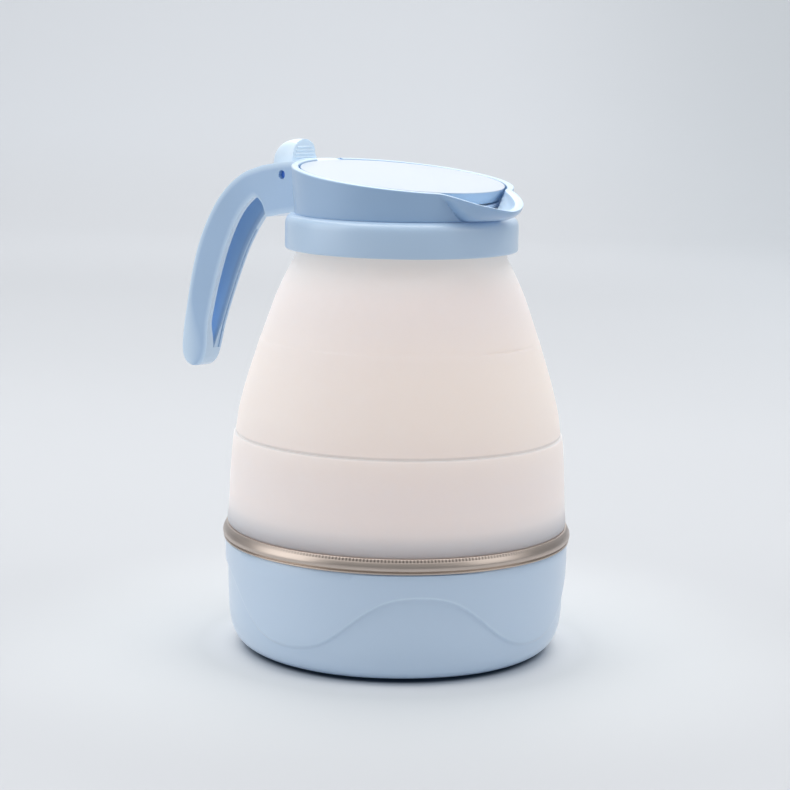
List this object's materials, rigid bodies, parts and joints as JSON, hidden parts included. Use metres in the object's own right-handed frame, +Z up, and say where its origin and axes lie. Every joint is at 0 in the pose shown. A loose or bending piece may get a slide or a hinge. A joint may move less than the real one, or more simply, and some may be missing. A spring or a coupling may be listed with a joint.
{
  "type": "collapsible electric kettle",
  "caption": "Collapsible electric travel kettle: heated base with a steel pan, folding silicone body, and a top with a spout, a channel handle and a hinged lid with a thumb tab.",
  "frame": {"origin": "on the kettle's axis, on the underside of the pad that it stands on", "axes": "+Z up along the axis that the top slides on, +X towards the spout, -X towards the handle and the power inlet"},
  "size_m": [0.168, 0.12, 0.1726],
  "materials": {
    "blue_plastic": "satin pale blue moulding",
    "white_liner": "plain white moulding",
    "silicone": "soft satin, slightly translucent",
    "steel": "brushed",
    "aluminium": "cast",
    "brass": "plain",
    "rubber": "matt",
    "dark_plastic": "matt",
    "red_lead": "matt insulation",
    "pale_lead": "matt insulation",
    "earth_lead": "matt insulation"
  },
  "bodies": {
    "base": {"base_shell": "blue_plastic", "bottom_cover": "blue_plastic", "anti_slip_pad": "rubber", "bottom_screw_1": "steel", "bottom_screw_2": "steel", "bottom_screw_3": "steel", "heating_pan": "steel", "steel_band": "steel", "body_lower_band": "silicone", "body_middle_band": "silicone", "heat_plate": "aluminium", "heating_element": "aluminium", "thermostat": "dark_plastic", "thermal_fuse": "brass", "power_inlet": "dark_plastic", "inlet_pin_live": "brass", "inlet_pin_neutral": "brass", "inlet_pin_earth": "brass", "lead_live": "red_lead", "lead_link": "red_lead", "lead_neutral": "pale_lead", "lead_earth": "earth_lead"},
    "top": {"body_upper_band": "silicone", "collar": "blue_plastic", "neck_ring": "white_liner", "spout_ring": "blue_plastic", "handle": "blue_plastic", "hinge_pin": "blue_plastic"},
    "lid": {"lid_cover": "blue_plastic", "lid_liner": "white_liner", "lid_gasket": "silicone"}
  },
  "joints": [
    {"name": "collapse_slide", "type": "slide", "parent": "base", "child": "top", "axis": [0, 0, -1], "range_m": [0, 0.06], "deforming": ["body_middle_band"]},
    {"name": "lid_hinge", "type": "hinge", "parent": "top", "child": "lid", "pos_m": [-0.0504, 0, 0.15998], "axis": [0, -1, 0], "range_deg": [0, 75]}
  ]
}
